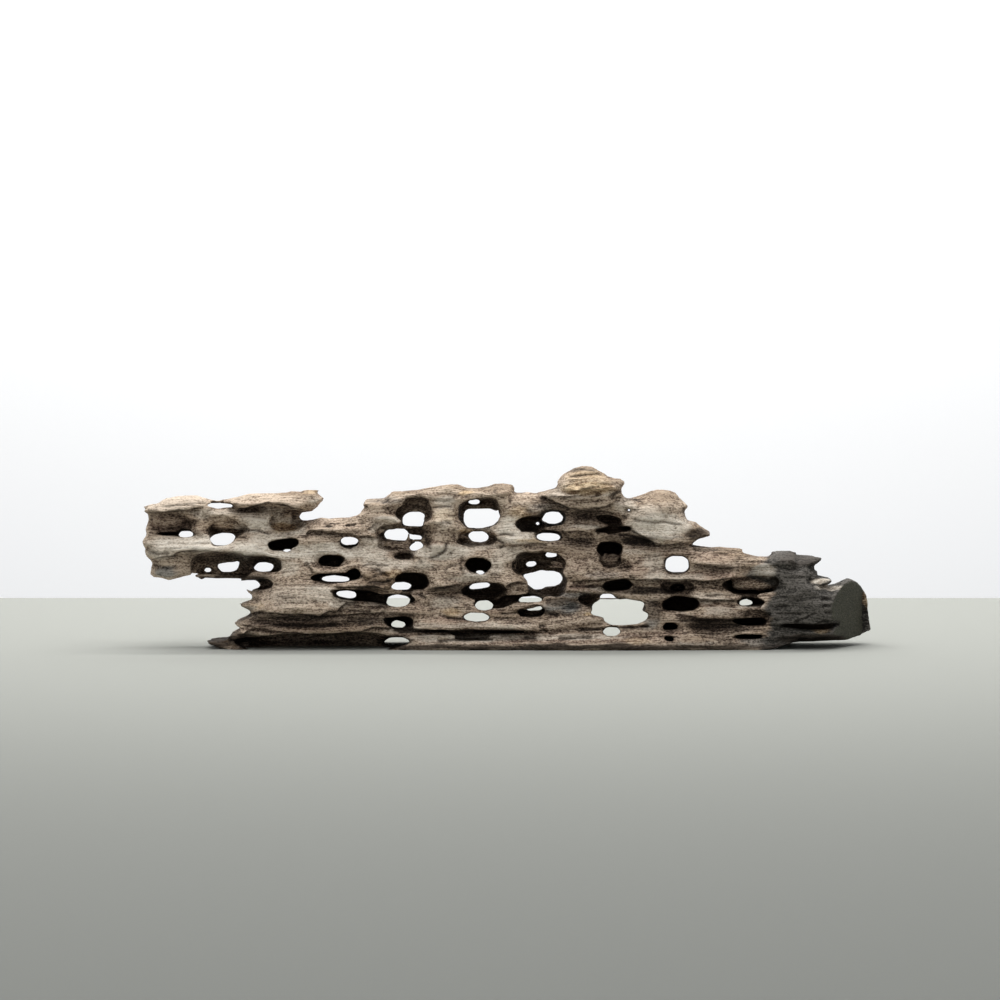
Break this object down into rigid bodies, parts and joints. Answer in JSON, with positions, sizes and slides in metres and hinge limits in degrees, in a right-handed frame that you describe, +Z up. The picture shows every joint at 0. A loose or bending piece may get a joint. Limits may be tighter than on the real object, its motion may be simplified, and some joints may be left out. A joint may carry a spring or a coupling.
{
  "type": "honeycomb driftwood",
  "caption": "Long slab of weathered driftwood, bored through with oval holes, with a broken arm at one end, a knob on top and a sawn end.",
  "frame": {"origin": "middle of the bounding box, on the flat base", "axes": "+X along the grain towards the sawn end, -Y out of the face that shows best, +Z up from the base"},
  "size_m": [0.6934, 0.1114, 0.1721],
  "materials": {
    "weathered_wood": "dry, matt, weathered grey-brown wood, charred darker at the sawn end"
  },
  "bodies": {
    "root": {"honeycomb_wood": "weathered_wood"}
  },
  "joints": []
}
